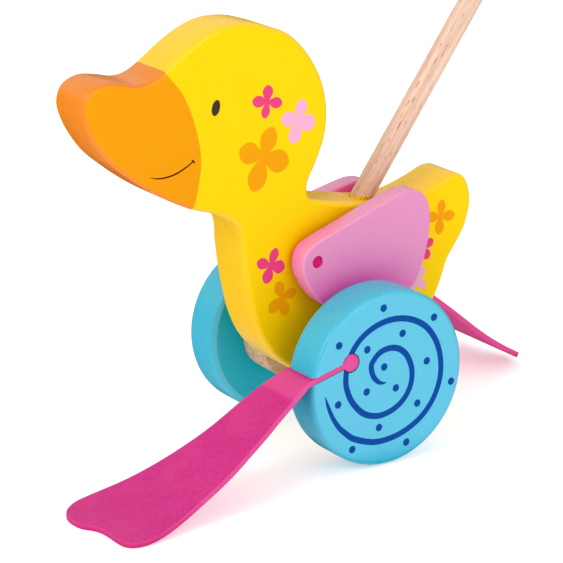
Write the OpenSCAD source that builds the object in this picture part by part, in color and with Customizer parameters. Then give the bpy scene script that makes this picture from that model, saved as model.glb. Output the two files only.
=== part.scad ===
// Push-along wooden duck on a stick: one sawn plank body, two wheels glued on
// one axle, an eccentric cam beside each wheel that lifts a loose wing, and a
// soft rubber foot pushed into a keyhole slot in each wheel.
// Millimetres. Origin on the floor under the axle, in the middle of the plank.
// +X is the duck's left, -Y is forward (the beak), +Z is up.

/* [Wheels] */
// Wheel diameter
wheel_d = 80; // [76:1:84]
// Wheel board thickness
wheel_t = 19.75; // [18:0.25:21]
// Inner face of each wheel, measured from the middle of the plank
wheel_in = 31; // [30:0.5:34]
// Rounding of the wheel's edges
wheel_round = 2.5; // [1:0.5:4]
// Axle dowel diameter
axle_d = 10; // [8:0.5:12]
// How deep the axle is glued into each wheel
axle_seat = 15; // [10:1:17]
// Upward turn of the right slot from the left slot reversed front to back
right_phase = 25.4; // [20:0.2:30]

/* [Cams] */
// Cam disc diameter
cam_d = 34; // [28:1:34]
// Distance of the cam's centre from the axle
cam_e = 6.4; // [2:0.2:6.4]
// Rounding of the cam's edges
cam_round = 1; // [0.5:0.5:2]

/* [Body] */
// Thickness of the body plank
body_t = 25; // [22:0.5:26]
// Radial running clearance of the axle in the plank and of a wing on its pin
run = 0.08; // [0.03:0.01:0.1]

/* [Wings] */
// Thickness of a wing
wing_t = 10; // [8:0.5:11]
// Gap between plank and wing, filled by the spacer
wing_gap = 2.5; // [1.5:0.1:2.5]
// Shank diameter of a wing pin
pin_d = 4; // [3:0.5:5]
// Head diameter of a wing pin
pin_head_d = 5.4; // [5.2:0.1:7]
// How far the right wing hangs below the left one, in degrees
right_droop = 5.5; // [0:0.5:5.5]

/* [Stick] */
// Stick diameter
stick_d = 10; // [8:0.5:12]
// Length of the stick, with the part in the plank and in the knob
stick_len = 500; // [400:10:600]
// Lean of the stick, back from vertical
stick_lean = 35.5; // [30:0.5:40]
// Diameter of the ball knob
knob_d = 38; // [30:1:45]

/* [Feet] */
// Thickness of the rubber
foot_t = 2.6; // [2:0.1:3]
// Radius of the round bulb that locks a foot in its wheel
bulb_r = 4.3; // [3.5:0.1:4.6]
// Angle of the slot below the horizontal, on the left wheel
slot_a = 14.7; // [10:0.1:20]
// Distance of the slot's middle line from the axle
slot_off = 15.7; // [12:0.1:18]
// Distance of the bulb along the slot
bulb_reach = 16.4; // [14:0.2:20]

/* [Hidden] */
$fn = 72;

left = 1;                        // side of a piece: the sign of its X
right = -1;
fit = 0.02;                      // radial gap of a glued or pushed fit
overcut = 1;                     // how far a cut runs past the face it opens

// wheels, axle and cams
wheel_r = wheel_d / 2;
axle_r = axle_d / 2;
wheel_out = wheel_in + wheel_t;
wheel_mid = wheel_in + wheel_t / 2;
axle_end_gap = 0.3;              // between the axle's end and its bore's floor
body_x = body_t / 2;
cam_in = body_x + 0.6;           // inner face of a cam

// wings and their pins
wing_in = body_x + wing_gap;
wing_out = wing_in + wing_t;
pin_at = [-20, 50];              // wing pin, from the axle: Y, Z
pin_r = pin_d / 2;
head_r = pin_head_d / 2;
pin_seat = 9.5;                  // depth of a pin in the plank
pin_hole = 10;                   // depth of its hole
head_recess = 3.5;               // depths below the wing's outer face: recess,
head_under = 3.3;                // underside of the head,
shank_end = 3;                   // end of the shank, inside the head,
head_top = 0.8;                  // and outer side of the head
spacer_r = 5.5;
spacer_play = 0.2;               // between a spacer and its wing

// stick and knob; distances along the stick are from its lower end
stick_r = stick_d / 2;
stick_foot = [0.1, 39.3];        // lower end of the stick, from the axle: Y, Z
socket_start = -0.5;
socket_len = 60;
flare_start = 32.6;              // conical widening of the socket
flare_h = 4;
flare_grow = 4;                  // growth of the radius over the flare
knob_lap = 22;                   // how far the knob reaches down the stick
knob_end_gap = 0.5;              // between the stick's end and its bore's floor

// feet
knuckle = foot_t / 2;            // radius of the rounded bend
hinge_r = 1.0375 * wheel_r;      // where a foot starts to bend, from the axle
hinge_u = sqrt(hinge_r * hinge_r - slot_off * slot_off);  // the same, along the slot
foot_len = 118.5;                // free length of a foot
slot_gap = 0.05;                 // gap of the slot round the rubber
root_inset_in = 0.2;             // root from the wheel's inner face
root_inset_out = 0.15;           // root from the wheel's outer face
blade_half = 40;                 // half width of the ribbon before its plan is cut

body_yellow = [1, 0.85, 0.05];
stick_wood = [0.87, 0.72, 0.58];
knob_pink = [0.92, 0.2, 0.55];
wing_pink = [0.88, 0.57, 0.76];
pin_pink = [0.86, 0.05, 0.42];
axle_wood = [0.85, 0.7, 0.55];
wheel_blue = [0.42, 0.8, 0.9];
cam_wood = [0.8, 0.66, 0.53];
foot_pink = [0.86, 0.2, 0.55];

// ---- tables --------------------------------------------------------------

// side outline of the duck, from the axle:
// [Y, Z, how far the sawn edge stands outside the point]
duck_stations = [
    [-126, 129, 1.1], [-123.2, 134.8, 1.4], [-117, 138, 0.95], [-109, 137.7, 0.45],
    [-101, 136.2, 0.2], [-94, 137, 0.5], [-87, 140.4, 0.9], [-80, 145.2, 1.1],
    [-71, 150.6, 1.2], [-60, 154.9, 1.1], [-48, 156.6, -0.2], [-36, 154.4, -1],
    [-26, 148.3, 0.6], [-17, 139, 0.9], [-10.9, 127, 1.6], [-8.3, 114.5, 1.9],
    [-9.3, 102.5, 2], [-13.8, 92, 2.3], [-17.6, 84.5, 2.2], [-18.2, 78.5, 1.6],
    [-15, 74.3, 0.6], [-6, 72.2, 0], [9, 69.5, -0.4], [22, 66.8, 0],
    [33, 65.8, 0.2], [43, 67.2, 0.4], [54, 70.8, 0.45], [62, 73.6, 0.5],
    [67.5, 72.3, 0.95], [70.6, 67.5, 1], [71.3, 60, 1.6], [68.8, 50, 1.75],
    [63.8, 41.8, 1.7], [59.6, 34.8, 1.2], [57, 27, 0.95], [52.8, 17.6, 0.8],
    [46, 8.2, 0.5], [36, -0.6, 0.4], [22, -6.8, 0.3], [7, -9.4, 0.3],
    [-8, -8.6, 0.3], [-20, -4.6, 0.3], [-30, 2, 0.3], [-37.5, 10, 0.3],
    [-42.8, 20, 0.3], [-46.2, 31, 0.2], [-48.8, 44, 0.2], [-50, 56.5, 0.7],
    [-50.6, 64, 0.5], [-53.8, 69, -0.6], [-63, 73.4, -1.3], [-75, 77.8, -0.9],
    [-86, 84, -0.1], [-96, 90.8, 0.5], [-106, 98.4, 0.7], [-114.6, 106, 0.75],
    [-120.8, 114.4, 1], [-125, 122.6, 0.9]
];

// side outline of a wing, from the axle: [Y, Z]; its lower edge is level
wing_line = [
    [-27.6, 48], [-26.4, 54], [-21.6, 58.2], [-8, 63.2], [6, 68.2], [18, 72.4],
    [26.5, 74.7], [33.4, 74], [38.2, 70.2], [40.4, 64], [40.6, 56.5], [39, 46.5],
    [35.6, 36.6], [31.4, 30.2], [26.4, 27], [19.5, 26], [7, 26], [-6, 26],
    [-11.8, 27.2], [-17.4, 30.6], [-22.1, 35.8], [-25.8, 41.8]
];

// slope of each foot along its length: [distance from the bend, degrees]
left_slope = [
    [0, -24], [6, -31], [32, -32.4], [55, -28.6], [78, -21.4],
    [95, -12], [104, -3], [113, 0], [120, 0]
];
right_slope = [
    [0, 0], [12, -17.3], [30, -31.6], [50, -39.4], [75, -42.4], [100, -30.2], [120, -29.2]
];

// a foot laid flat: [distance from the bend, sideways from the wheel's middle, outward
// positive]; the inner side is the narrower one, so that it passes the wing
foot_plan = [
    [0, -9.6], [5, -10.3], [11, -11.6], [22, -12.9], [33, -13.8], [44, -15], [56, -17.3],
    [69, -19.9], [84, -23.1], [93, -24.8], [100, -25.2], [106, -24.2], [111.4, -21.2],
    [115.8, -16.8], [118, -11.4], [118.2, -5.4], [117.2, -1], [115.4, 1.6], [113.7, 4.2],
    [112.6, 8], [112.3, 13], [112.4, 19], [111.9, 24], [110.2, 27], [107, 28.7], [102, 29.1],
    [94, 28.1], [82, 25.4], [71, 23.2], [61, 21.9], [51, 20.4], [41, 18.4], [32, 16.9],
    [23, 15], [13, 13], [8, 12], [3, 10.8], [0, 9.6]
];

// ---- points --------------------------------------------------------------

// point at fraction t between start and end on a curve through all four points
function curve(before, start, end, after, t) =
    0.5 * (2 * start + (end - before) * t
           + (2 * before - 5 * start + 4 * end - after) * t * t
           + (3 * start - before - 3 * end + after) * t * t * t);

// a smooth closed outline through the points, in so many steps between them
function closed(points, steps) =
    let (m = len(points))
    [for (i = [0 : m - 1], j = [0 : steps - 1])
        curve(points[(i + m - 1) % m], points[i],
              points[(i + 1) % m], points[(i + 2) % m], j / steps)];

// the same for an open line, repeating its end points
function open(points, steps) =
    let (m = len(points))
    concat([for (i = [0 : m - 2], j = [0 : steps - 1])
        curve(points[max(i - 1, 0)], points[i],
              points[i + 1], points[min(i + 2, m - 1)], j / steps)],
        [points[m - 1]]);

// closed line of [Y, Z, distance] stations, each moved outward by its distance,
// to the nearest 0.1 mm
function stood_out(stations) =
    let (m = len(stations))
    [for (i = [0 : m - 1])
        let (here = stations[i],
             next = stations[(i + 1) % m],
             last = stations[(i + m - 1) % m],
             chord = [next[0] - last[0], next[1] - last[1]],
             moved = [here[0], here[1]] + here[2] * [-chord[1], chord[0]] / norm(chord))
        [round(moved[0] * 10) / 10, round(moved[1] * 10) / 10]];

// unit vector square to a line that slopes by the angle
function normal(angle) = [-sin(angle), cos(angle)];

// middle line of a foot from its bend, one point each mm
function middle_line(bend, slope) =
    [for (i = 0, point = bend;
          i <= foot_len + 1;
          i = i + 1,
          point = point + [cos(lookup(i - 0.5, slope)), sin(lookup(i - 0.5, slope))])
        point];

// point of a middle line at a distance from the bend
function along(line, distance) =
    let (i = floor(distance), part = distance - i)
    line[i] * (1 - part) + line[min(i + 1, len(line) - 1)] * part;

// a corner of the ribbon's blunt start, hidden inside its round end
function start_corner(bend, angle, offset) =
    bend + slot_point(-0.5, offset, angle);

// a point given out along a slot and across it, the slot turned by the angle
function slot_point(out, across, angle) =
    [out * cos(angle) - across * sin(angle), out * sin(angle) + across * cos(angle)];

// a wheel's slot angle above the horizontal
function slot_angle(side) = side == left ? -slot_a : right_phase - slot_a;

// ---- shapes --------------------------------------------------------------
// near and far are distances from the plank's middle, toward the given side

// a [Y, Z] outline from the axle, extruded across the duck
module slab(near, far, side = left) {
    translate([min(side * near, side * far), 0, wheel_r])
        rotate([90, 0, 90])
            linear_extrude(far - near) children();
}

// a cylinder across the duck
module across(near, far, at, radius, side = left) {
    slab(near, far, side) translate(at) circle(radius);
}

// a disc across the duck with rounded edges
module disc(near, far, at, radius, edge, side) {
    thick = far - near;
    translate([min(side * near, side * far), at[0], wheel_r + at[1]])
        rotate([0, 90, 0])
            rotate_extrude($fn = 96) union() {
                square([radius - edge, thick]);
                translate([0, edge]) square([radius, thick - 2 * edge]);
                translate([radius - edge, edge]) circle(edge, $fn = 32);
                translate([radius - edge, thick - edge]) circle(edge, $fn = 32);
            }
}

// places a shape made along +Z on the stick's line, at a distance from its lower end
module on_stick(distance) {
    translate([0, stick_foot[0], wheel_r + stick_foot[1]])
        rotate([-stick_lean, 0, 0])
            translate([0, 0, distance]) children();
}

// turns a shape that points back so that it points forward, on the left side only
module left_forward(side) {
    if (side == left) mirror([0, 1, 0]) children();
    else children();
}

// outline of the keyhole slot, out to the reach; gap is the room round the rubber
module keyhole(angle, gap, reach) {
    translate(slot_point(bulb_reach, slot_off, angle)) circle(bulb_r + gap);
    rotate(angle)
        translate([bulb_reach, slot_off - foot_t / 2 - gap])
            square([reach - bulb_reach, foot_t + 2 * gap]);
}

// ---- paired pieces -------------------------------------------------------

// a wing with its pin hole and head recess, its rear hanging by droop degrees
module wing(side, droop) {
    difference() {
        slab(wing_in, wing_out, side)
            translate(pin_at) rotate(-droop) translate(-pin_at)
                polygon(closed(wing_line, 5));
        across(wing_in - overcut, wing_out + overcut, pin_at, pin_r + run, side);
        across(wing_out - head_recess, wing_out + overcut, pin_at, head_r + run, side);
    }
}

// headed plastic pin, its head sunk in the wing
module wing_pin(side) {
    union() {
        across(body_x - pin_seat, wing_out - shank_end, pin_at, pin_r, side);
        across(wing_out - head_under, wing_out - head_top, pin_at, head_r, side);
    }
}

// ring on the pin between plank and wing
module wing_spacer(side) {
    difference() {
        across(body_x, wing_in - spacer_play, pin_at, spacer_r, side);
        across(body_x - overcut, wing_in + overcut, pin_at, pin_r + fit, side);
    }
}

// a wheel with its keyhole slot and the axle's blind bore
module wheel(side) {
    difference() {
        left_forward(side) difference() {
            disc(wheel_in, wheel_out, [0, 0], wheel_r, wheel_round, side);
            slab(wheel_in - overcut, wheel_out + overcut, side)
                keyhole(slot_angle(side), slot_gap, wheel_r + 2);
        }
        across(wheel_in - overcut, wheel_in + axle_seat + axle_end_gap,
               [0, 0], axle_r + fit, side);
    }
}

// eccentric disc, its centre behind the axle on the left and before it on the right
module cam(side) {
    difference() {
        disc(cam_in, wheel_in, [side * cam_e, 0], cam_d / 2, cam_round, side);
        across(cam_in - overcut, wheel_in + overcut, [0, 0], axle_r + fit, side);
    }
}

// the part of a foot that is held by the wheel, up to the bend
module foot_root(side) {
    angle = slot_angle(side);
    left_forward(side)
        slab(wheel_in + root_inset_in, wheel_out - root_inset_out, side)
            difference() {
                keyhole(angle, 0, hinge_u - knuckle * 0.6);
                translate(slot_point(hinge_u, slot_off, angle)) circle(knuckle + 0.3);
            }
}

// the free part of a foot: a bent ribbon with a round start, cut to its plan
module foot_blade(side, slope) {
    bend = slot_point(hinge_u, slot_off, slot_angle(side));
    line = middle_line(bend, slope);
    tip = floor(foot_len);
    start = lookup(0, slope);
    upper = [for (i = [2 : 2 : tip]) line[i] + knuckle * normal(lookup(i, slope))];
    lower = [for (i = [0 : 2 : tip - 2])
        line[tip - i] - knuckle * normal(lookup(tip - i, slope))];
    plan_start = bend[0] - 2;
    plan = concat(
        [for (point = open(foot_plan, 3))
            [side * point[1], along(line, max(point[0], 0))[0]]],
        [[side * foot_plan[len(foot_plan) - 1][1], plan_start],
         [side * foot_plan[0][1], plan_start]]);
    translate([side * wheel_mid, 0, 0]) left_forward(side) intersection() {
        union() {
            slab(-blade_half, blade_half)
                polygon(concat([start_corner(bend, start, 0.9)], upper, lower,
                               [start_corner(bend, start, -0.9)]));
            across(-blade_half, blade_half, bend, knuckle + 0.05);
        }
        translate([0, 0, -5]) linear_extrude(wheel_d + 10) polygon(plan);
    }
}

// ---- nodes ---------------------------------------------------------------

// the plank, with the axle's bore, the stick's socket and two blind pin holes
module body() {
    color(body_yellow) difference() {
        slab(-body_x, body_x) polygon(closed(stood_out(duck_stations), 3));
        across(-body_x - overcut, body_x + overcut, [0, 0], axle_r + run);
        on_stick(socket_start) cylinder(r = stick_r + fit, h = socket_len);
        on_stick(flare_start) cylinder(r1 = stick_r, r2 = stick_r + flare_grow, h = flare_h);
        for (side = [left, right])
            across(body_x - pin_hole, body_x + overcut, pin_at, pin_r + fit, side);
    }
}

module stick() {
    color(stick_wood) on_stick(0) cylinder(r = stick_r, h = stick_len);
}

// ball with a blind bore for the stick's upper end
module knob() {
    color(knob_pink) on_stick(stick_len) difference() {
        translate([0, 0, knob_d / 2 - knob_lap]) sphere(r = knob_d / 2);
        translate([0, 0, -knob_d]) cylinder(r = stick_r + fit, h = knob_d + knob_end_gap);
    }
}

module axle() {
    color(axle_wood)
        across(-wheel_in - axle_seat, wheel_in + axle_seat, [0, 0], axle_r);
}

module left_wing() { color(wing_pink) wing(left, 0); }
module right_wing() { color(wing_pink) wing(right, right_droop); }
module left_wing_pin() { color(pin_pink) wing_pin(left); }
module right_wing_pin() { color(pin_pink) wing_pin(right); }
module left_wing_spacer() { color(pin_pink) wing_spacer(left); }
module right_wing_spacer() { color(pin_pink) wing_spacer(right); }
module left_wheel() { color(wheel_blue) wheel(left); }
module right_wheel() { color(wheel_blue) wheel(right); }
module left_cam() { color(cam_wood) cam(left); }
module right_cam() { color(cam_wood) cam(right); }
module left_foot_root() { color(foot_pink) foot_root(left); }
module right_foot_root() { color(foot_pink) foot_root(right); }
module left_foot_blade() { color(foot_pink) foot_blade(left, left_slope); }
module right_foot_blade() { color(foot_pink) foot_blade(right, right_slope); }

body();
stick();
knob();
left_wing();
right_wing();
left_wing_pin();
right_wing_pin();
left_wing_spacer();
right_wing_spacer();
axle();
left_wheel();
right_wheel();
left_cam();
right_cam();
left_foot_root();
right_foot_root();
left_foot_blade();
right_foot_blade();
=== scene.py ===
"""Wooden push-along duck: a flat body on a leaning stick, two wings on pins, an axle with two
off-centre cams, and two wheels that each hold a rubber foot in a keyhole slot.

The beak points to -Y, +Z is up, the floor is z = 0 and the duck's left side is +X. Sizes are in
millimetres unless a comment says otherwise; flat shapes are (y, z) outlines given a thickness in X.
"""
import math
from functools import cached_property

import bmesh
import bpy
import numpy as np
from mathutils import Matrix, Vector
from mathutils.geometry import delaunay_2d_cdt


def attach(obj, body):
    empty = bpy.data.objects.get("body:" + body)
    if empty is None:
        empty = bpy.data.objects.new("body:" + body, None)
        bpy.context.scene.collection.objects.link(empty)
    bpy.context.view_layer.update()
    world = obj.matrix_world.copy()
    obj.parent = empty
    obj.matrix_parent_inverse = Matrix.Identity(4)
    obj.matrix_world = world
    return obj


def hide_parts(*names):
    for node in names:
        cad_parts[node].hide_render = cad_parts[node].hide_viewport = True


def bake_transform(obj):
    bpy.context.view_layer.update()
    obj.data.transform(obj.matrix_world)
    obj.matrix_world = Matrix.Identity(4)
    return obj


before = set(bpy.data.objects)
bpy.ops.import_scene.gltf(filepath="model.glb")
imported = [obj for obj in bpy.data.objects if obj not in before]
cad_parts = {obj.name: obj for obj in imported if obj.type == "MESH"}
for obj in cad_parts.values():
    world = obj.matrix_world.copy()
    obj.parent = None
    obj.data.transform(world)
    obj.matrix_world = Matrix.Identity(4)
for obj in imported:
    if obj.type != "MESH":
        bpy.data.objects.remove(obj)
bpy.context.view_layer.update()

MM = 0.001
SIDES = ((1, "left"), (-1, "right"))

WHEEL_RADIUS = 40.0
WHEEL_INNER, WHEEL_OUTER = 31.0, 50.75  # x of the left wheel's faces
WHEEL_MIDDLE = (WHEEL_INNER + WHEEL_OUTER) / 2
AXLE = (0, WHEEL_RADIUS)  # (y, z)
AXLE_Z = WHEEL_RADIUS
DOWEL_RADIUS = 5
DOWEL_BORE = 5.02  # radius of the holes that hold a dowel tight

BODY_HALF = 12.5  # half the body's thickness
BODY_EDGE = 2.5  # rounding of the body's edges
EDGE_MARGIN = 0.4  # flat band kept between a rounded edge and its face
WING_PIVOT = (-20, 90)
WING_INNER, WING_OUTER = 15.0, 25.0
STICK_LEAN = math.radians(35.5)


# ---------------------------------------------------------------- outlines

def area(loop):
    after = np.roll(loop, -1, 0)
    return 0.5 * float(np.sum(loop[:, 0] * after[:, 1] - after[:, 0] * loop[:, 1]))


def cad_outline(piece, x):
    """Largest outline of a CAD piece's flat face at x, counter-clockwise seen from +X."""
    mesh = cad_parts[piece].data
    index, merged, ids = {}, [], []
    for point in np.array([v.co for v in mesh.vertices], float) * 1000:
        key = tuple(np.round(point, 3))
        if key not in index:
            index[key] = len(merged)
            merged.append(key)
        ids.append(index[key])
    merged = np.array(merged, float)
    edges = set()
    for polygon in mesh.polygons:
        corners = [ids[i] for i in polygon.vertices]
        flat = all(abs(merged[i][0] - x) < 0.004 for i in corners)
        if flat and len(set(corners)) == len(corners):
            for a, b in zip(corners, corners[1:] + corners[:1]):
                edges.add((a, b))
    # an edge used in one direction only is on the border
    following = {a: b for a, b in edges if (b, a) not in edges}
    loops = []
    while following:
        chain = list(following.popitem())
        while chain[-1] in following:
            chain.append(following.pop(chain[-1]))
        if chain[0] == chain[-1]:
            chain.pop()
        loop = merged[chain][:, 1:]
        loops.append(loop[::-1] if area(loop) < 0 else loop)
    return max(loops, key=lambda loop: abs(area(loop)))


def spline(points, step, closed=True):
    """Catmull-Rom curve through points, about one point each step."""
    points = np.asarray(points, float)
    count, out = len(points), []
    for i in range(count if closed else count - 1):
        b, c = points[i], points[(i + 1) % count]
        a = points[(i - 1) % count] if closed or i > 0 else b
        d = points[(i + 2) % count] if closed or i + 2 < count else c
        parts = max(1, int(math.ceil(np.linalg.norm(c - b) / step)))
        for j in range(parts):
            t = j / parts
            out.append(0.5 * (2 * b + (c - a) * t + (2 * a - 5 * b + 4 * c - d) * t * t
                              + (3 * b - a - 3 * c + d) * t ** 3))
    if not closed:
        out.append(points[-1])
    return np.array(out)


def circle(centre, radius, segments):
    angle = np.arange(segments) * 2 * math.pi / segments
    return np.stack([centre[0] + radius * np.cos(angle), centre[1] + radius * np.sin(angle)], 1)


def inward_normals(loop):
    along = np.roll(loop, -1, 0) - np.roll(loop, 1, 0)
    along /= np.maximum(np.linalg.norm(along, axis=1, keepdims=True), 1e-9)
    return np.stack([-along[:, 1], along[:, 0]], 1)


def insert_point(loop, point):
    """Puts the outline's nearest place to point into it; returns the outline and the index."""
    point = np.asarray(point, float)
    span = np.roll(loop, -1, 0) - loop
    t = np.clip(((point - loop) * span).sum(1) / (span * span).sum(1), 0, 1)
    nearest = loop + t[:, None] * span
    i = int(np.argmin(((nearest - point) ** 2).sum(1)))
    # close to a vertex, that vertex serves
    if t[i] < 0.15:
        return loop, i
    if t[i] > 0.85:
        return loop, (i + 1) % len(loop)
    return np.insert(loop, i + 1, nearest[i], 0), i + 1


def inside(points, polygon):
    x, y = points[:, 0], points[:, 1]
    result = np.zeros(len(points), bool)
    for (x0, y0), (x1, y1) in zip(polygon, np.roll(polygon, -1, 0)):
        if y0 != y1:
            result ^= ((y0 > y) != (y1 > y)) & (x < (x1 - x0) * (y - y0) / (y1 - y0) + x0)
    return result


def triangulate(points, edges):
    """Returns points, the given points behind each, triangles and triangle centres."""
    flat, _, faces, sources, _, _ = delaunay_2d_cdt(points, edges, [], 0, 1e-6)
    triangles = [face for face in faces if len(face) == 3]
    centres = np.array([[sum(flat[k][axis] for k in face) / 3 for axis in (0, 1)]
                        for face in triangles])
    return flat, sources, triangles, centres


# ---------------------------------------------------------------- meshes

def new_vert(bm, x, y, z):
    return bm.verts.new((x * MM, y * MM, z * MM))


def join(bm, a, b, material=None):
    """Faces between two closed rings; a ring of one vertex is a centre point."""
    count = max(len(a), len(b))
    for i in range(count):
        j = (i + 1) % count
        if len(a) == 1:
            corners = (a[0], b[i], b[j])
        elif len(b) == 1:
            corners = (a[i], a[j], b[0])
        else:
            corners = (a[i], a[j], b[j], b[i])
        face = bm.faces.new(corners)
        if material:
            face.material_index = material(i)


def shade_smooth(mesh, sharp):
    for polygon in mesh.polygons:
        polygon.use_smooth = True
    mesh.set_sharp_from_angle(angle=math.radians(sharp))


def finish_mesh(name, bm, materials, sharp=34, matrix=None):
    bmesh.ops.remove_doubles(bm, verts=bm.verts, dist=2e-7)
    bmesh.ops.dissolve_degenerate(bm, edges=bm.edges, dist=1e-8)
    bmesh.ops.recalc_face_normals(bm, faces=bm.faces)
    mesh = bpy.data.meshes.new(name)
    bm.to_mesh(mesh)
    bm.free()
    shade_smooth(mesh, sharp)
    ob = bpy.data.objects.new(name, mesh)
    bpy.context.scene.collection.objects.link(ob)
    for material in materials:
        mesh.materials.append(material)
    if matrix is not None:
        ob.matrix_world = matrix
    return ob


def cap(bm, outline, ring, x, holes, prints, line, base):
    """Flat face at x inside outline, whose vertices are ring.

    holes are (outline, vertices) and prints (outline, material) pairs. line is None or a paint
    border across the face: (start index, middle points, end index, points round, material).
    """
    points, edges, owner = [], [], {}

    def add(loop, verts=()):
        start, count = len(points), len(loop)
        points.extend(Vector(p) for p in loop)
        edges.extend((start + i, start + (i + 1) % count) for i in range(count))
        owner.update(enumerate(verts, start))

    add(outline, ring)
    for loop, verts in holes:
        add(loop, verts)
    for polygon, _ in prints:
        add(polygon)
    if line:
        first, middle, last, around, line_material = line
        start = len(points)
        points.extend(Vector(p) for p in middle)
        chain = [first] + list(range(start, len(points))) + [last]
        edges.extend(zip(chain, chain[1:]))
    flat, sources, triangles, centres = triangulate(points, edges)
    verts = [next((owner[k] for k in source if k in owner), None) for source in sources]
    keep = inside(centres, outline)
    for loop, _ in holes:
        keep &= ~inside(centres, loop)
    material = np.full(len(triangles), base)
    if line:
        border = np.vstack([outline[first], middle, outline[last], around])
        material[inside(centres, border)] = line_material
    for polygon, print_material in prints:
        material[inside(centres, polygon)] = print_material
    for k, triangle in enumerate(triangles):
        if not keep[k]:
            continue
        for i in triangle:
            if verts[i] is None:
                verts[i] = new_vert(bm, x, *flat[i])
        corners = [verts[i] for i in triangle]
        if len(set(corners)) == 3:
            # guards against a triangle that is already there, where given points merged
            try:
                bm.faces.new(corners).material_index = int(material[k])
            except ValueError:
                pass


def board(name, outline, x_faces, edge, materials, holes=(), prints=((), ()), bases=(0, 0),
          line=None, edge_material=None, steps=6, margin=EDGE_MARGIN):
    """Board between x_faces (low, high), its edges rounded to edge.

    holes are (centre, [(x, radius), ...]); prints and bases go to the (low, high) face.
    """
    inward = inward_normals(outline)
    faces = x_faces[::-1]
    bm = bmesh.new()

    def ring(x, inset):
        loop = outline + inward * inset
        return loop, [new_vert(bm, x, *p) for p in loop]

    sides = []
    for sign, x in zip((1, -1), faces):
        rings = []
        for k in range(steps + 1):
            angle = k / steps * math.pi / 2
            rings.append(ring(x - sign * edge * (1 - math.sin(angle)),
                              edge * (1 - math.cos(angle))))
        rings.append(ring(x, edge + margin))
        sides.append(rings)
    strips = [(sides[0][0], sides[1][0])]
    for rings in sides:
        strips += zip(rings, rings[1:])
    for (_, a), (_, b) in strips:
        join(bm, a, b, edge_material)
    openings = [[], []]
    for centre, profile in holes:
        previous = None
        for x, radius in profile:
            loop = circle(centre, radius, 48) if radius else [centre]
            verts = [new_vert(bm, x, *p) for p in loop]
            for opening, face_x in zip(openings, faces):
                if abs(x - face_x) < 1e-6:
                    opening.append((loop, verts))
            if previous:
                join(bm, previous, verts)
            previous = verts
    for rings, x, opening, marks, base in zip(sides, faces, openings, prints[::-1], bases[::-1]):
        cap(bm, *rings[-1], x, opening, marks, line, base)
    return finish_mesh(name, bm, materials)


def through(x_faces, radius):
    """Profile of a plain hole from one face to the other."""
    return [(x_faces[1], radius), (x_faces[0], radius)]


def low_high(side, inner, outer):
    """Orders a value for a part's inner and outer face as (low x, high x)."""
    return (inner, outer) if side > 0 else (outer, inner)


def lathe(name, profile, materials, matrix, segments=64):
    """Turned solid round its local Z; profile is (z, radius), centre to centre."""
    bm = bmesh.new()
    rings = []
    for z, radius in profile:
        if radius <= 1e-6:
            rings.append([bm.verts.new((0, 0, z * MM))])
            continue
        angles = [2 * math.pi * i / segments for i in range(segments)]
        rings.append([bm.verts.new((radius * MM * math.cos(a), radius * MM * math.sin(a), z * MM))
                      for a in angles])
    for a, b in zip(rings, rings[1:]):
        join(bm, a, b)
    return finish_mesh(name, bm, materials, matrix=matrix)


def rounded(profile, radii, steps=5):
    """profile with an arc at each corner whose radius is above 0."""
    profile = [np.array(p, float) for p in profile]
    out = []
    for i, (corner, radius) in enumerate(zip(profile, radii)):
        if radius <= 0:
            out.append(tuple(corner))
            continue
        a, b = profile[i - 1] - corner, profile[i + 1] - corner
        a, b = a / np.linalg.norm(a), b / np.linalg.norm(b)
        half = math.acos(float(a @ b)) / 2
        reach = radius / math.tan(half)
        centre = corner + (a + b) / np.linalg.norm(a + b) * (radius / math.sin(half))
        start, end = corner + a * reach - centre, corner + b * reach - centre
        angle = math.acos(float(start @ end) / radius / radius)
        for k in range(steps + 1):
            t = k / steps
            arc = (math.sin((1 - t) * angle) * start + math.sin(t * angle) * end) / math.sin(angle)
            out.append(tuple(centre + arc))
    return out


def dowel_profile(z0, z1):
    return rounded([(z0, 0), (z0, DOWEL_RADIUS), (z1, DOWEL_RADIUS), (z1, 0)], [0, 0.8, 0.8, 0])


def prism(name, polygon, x0, x1, materials):
    bm = bmesh.new()
    ends = [[new_vert(bm, x, *p) for p in polygon] for x in (x0, x1)]
    for end in ends:
        bm.faces.new(end)
    join(bm, *ends)
    return finish_mesh(name, bm, materials)


def cut(ob, cutter):
    """Takes cutter out of ob; the cut surfaces keep the cutter's material."""
    for material in cutter.data.materials:
        if material.name not in [m.name for m in ob.data.materials]:
            ob.data.materials.append(material)
    modifier = ob.modifiers.new("cut", "BOOLEAN")
    modifier.operation = "DIFFERENCE"
    modifier.solver = "EXACT"
    modifier.object = cutter
    modifier.material_mode = "TRANSFER"
    bpy.context.view_layer.update()
    depsgraph = bpy.context.evaluated_depsgraph_get()
    mesh = bpy.data.meshes.new_from_object(ob.evaluated_get(depsgraph))
    ob.modifiers.remove(modifier)
    old = ob.data
    ob.data = mesh
    mesh.name = ob.name
    bpy.data.meshes.remove(old)
    bpy.data.objects.remove(cutter)
    bm = bmesh.new()
    bm.from_mesh(mesh)
    bmesh.ops.dissolve_degenerate(bm, edges=bm.edges, dist=1e-7)
    bm.to_mesh(mesh)
    bm.free()
    shade_smooth(mesh, 34)


def register(ob, piece, rides):
    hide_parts(piece)
    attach(ob, rides)


# ---------------------------------------------------------------- node trees

def linear(colour):
    """Linear RGBA of an 8-bit sRGB colour."""
    return tuple((c / 255 / 12.92) if c / 255 <= 0.04045 else ((c / 255 + 0.055) / 1.055) ** 2.4
                 for c in colour) + (1.0,)


def stretch(axis, along, across=1):
    """Scale that draws a pattern out along one axis."""
    return tuple(along if a == axis else across for a in "XYZ")


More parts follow.
